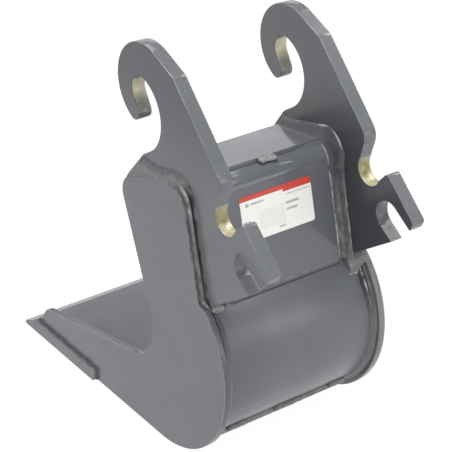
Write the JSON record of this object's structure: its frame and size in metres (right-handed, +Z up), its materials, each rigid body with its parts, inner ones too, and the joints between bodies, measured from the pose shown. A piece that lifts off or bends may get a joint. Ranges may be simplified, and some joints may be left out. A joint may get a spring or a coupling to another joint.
{
  "type": "trenching bucket",
  "caption": "Narrow welded trenching bucket with a straight blade, rolled back and two hook-on hitch ears, each with a hook, an open pin cup and a locking slot.",
  "frame": {"origin": "on the axis of the upper hitch pin, mid width", "axes": "+X across the bucket, -Y towards the blade, +Z up with the bucket standing on its underside"},
  "size_m": [0.21, 0.4251, 0.4148],
  "materials": {
    "paint": "semi-gloss dark grey paint",
    "blade_paint": "semi-gloss dark grey paint over ground steel",
    "weld": "rough painted weld beads",
    "label": "printed foil"
  },
  "bodies": {
    "root": {"shell_plate": "paint", "rear_plate": "paint", "top_plate": "paint", "heel_plate": "paint", "cutting_edge": "blade_paint", "seam_weld": "weld", "top_stitch_weld": "weld", "heel_stitch_welds": "weld", "floor_weld": "weld", "side_plate_right": "paint", "side_plate_left": "paint", "hitch_ear_right": "paint", "hitch_ear_left": "paint", "ear_weld_right": "weld", "ear_weld_left": "weld", "box_weld_right": "weld", "box_weld_left": "weld", "shell_weld_right": "weld", "shell_weld_left": "weld", "foot_weld_right": "weld", "foot_weld_left": "weld", "blade_weld_right": "weld", "blade_weld_left": "weld", "data_label": "label"}
  },
  "joints": []
}
